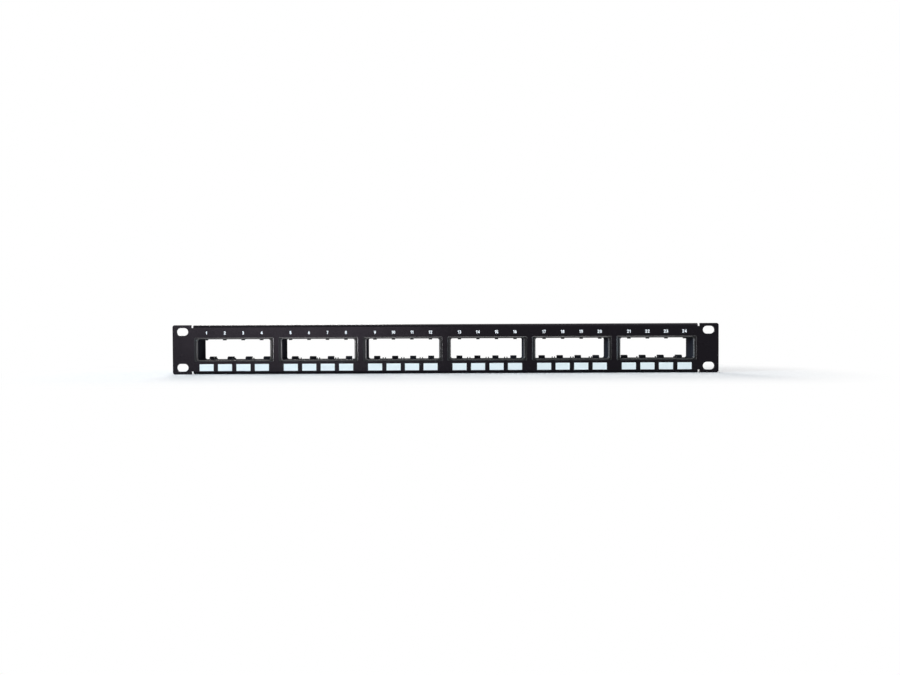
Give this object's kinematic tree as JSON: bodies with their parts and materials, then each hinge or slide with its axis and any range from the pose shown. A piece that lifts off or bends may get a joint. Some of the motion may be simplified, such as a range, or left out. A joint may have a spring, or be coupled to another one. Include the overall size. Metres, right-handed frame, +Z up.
{
  "type": "modular patch panel",
  "caption": "Black rack-mount modular patch panel: folded steel frame with snap-in faceplates, open module bays, port numbers and white write-on labels.",
  "frame": {"origin": "middle of the four rack slots, on the back face of the ears that bears on the rack rails", "axes": "+X to the right seen from the front, +Y to the rear, +Z up"},
  "size_m": [0.4826, 0.0206, 0.0436],
  "materials": {
    "powder_coat": "satin",
    "faceplate_plastic": "satin",
    "label_white": "matte"
  },
  "bodies": {
    "root": {"panel_frame": "powder_coat", "faceplate_1": "faceplate_plastic", "faceplate_2": "faceplate_plastic", "faceplate_3": "faceplate_plastic", "faceplate_4": "faceplate_plastic", "faceplate_5": "faceplate_plastic", "faceplate_6": "faceplate_plastic", "write_on_label_01": "label_white", "write_on_label_02": "label_white", "write_on_label_03": "label_white", "write_on_label_04": "label_white", "write_on_label_05": "label_white", "write_on_label_06": "label_white", "write_on_label_07": "label_white", "write_on_label_08": "label_white", "write_on_label_09": "label_white", "write_on_label_10": "label_white", "write_on_label_11": "label_white", "write_on_label_12": "label_white", "write_on_label_13": "label_white", "write_on_label_14": "label_white", "write_on_label_15": "label_white", "write_on_label_16": "label_white", "write_on_label_17": "label_white", "write_on_label_18": "label_white", "write_on_label_19": "label_white", "write_on_label_20": "label_white", "write_on_label_21": "label_white", "write_on_label_22": "label_white", "write_on_label_23": "label_white", "write_on_label_24": "label_white"}
  },
  "joints": []
}
